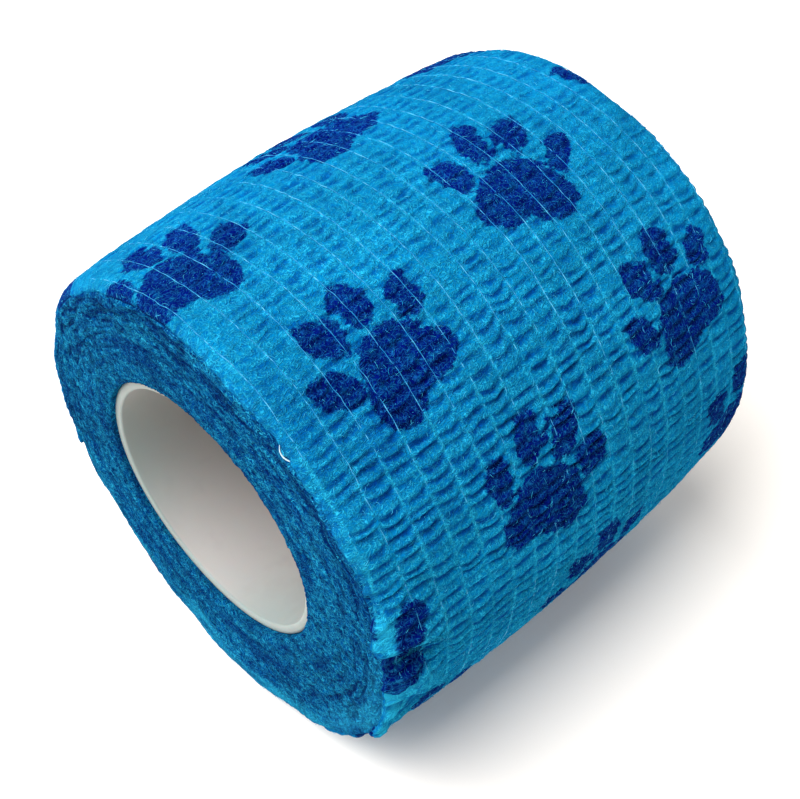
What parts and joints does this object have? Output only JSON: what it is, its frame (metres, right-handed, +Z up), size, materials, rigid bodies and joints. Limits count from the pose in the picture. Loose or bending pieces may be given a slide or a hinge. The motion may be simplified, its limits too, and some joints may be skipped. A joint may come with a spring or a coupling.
{
  "type": "cohesive bandage roll",
  "caption": "Self-adhering crinkled elastic bandage in light blue with dark blue paw prints, wound as a barrel-shaped roll on a thin white plastic tube and lying on its side.",
  "frame": {"origin": "middle of the underside of the bounding box, where the roll's flat spot rests on the surface", "axes": "+Y along the roll's axis, from the near end to the far end; +Z up; +X across the roll, to the right when looking along +Y"},
  "size_m": [0.0524, 0.0508, 0.053],
  "materials": {
    "crinkled_cloth": "dry, matte crinkled nonwoven with thin pale elastic threads round the roll, dark blue print and short loose fibres",
    "white_plastic": "smooth off-white moulded plastic with a soft sheen"
  },
  "bodies": {
    "root": {"bandage": "crinkled_cloth", "core": "white_plastic"}
  },
  "joints": []
}
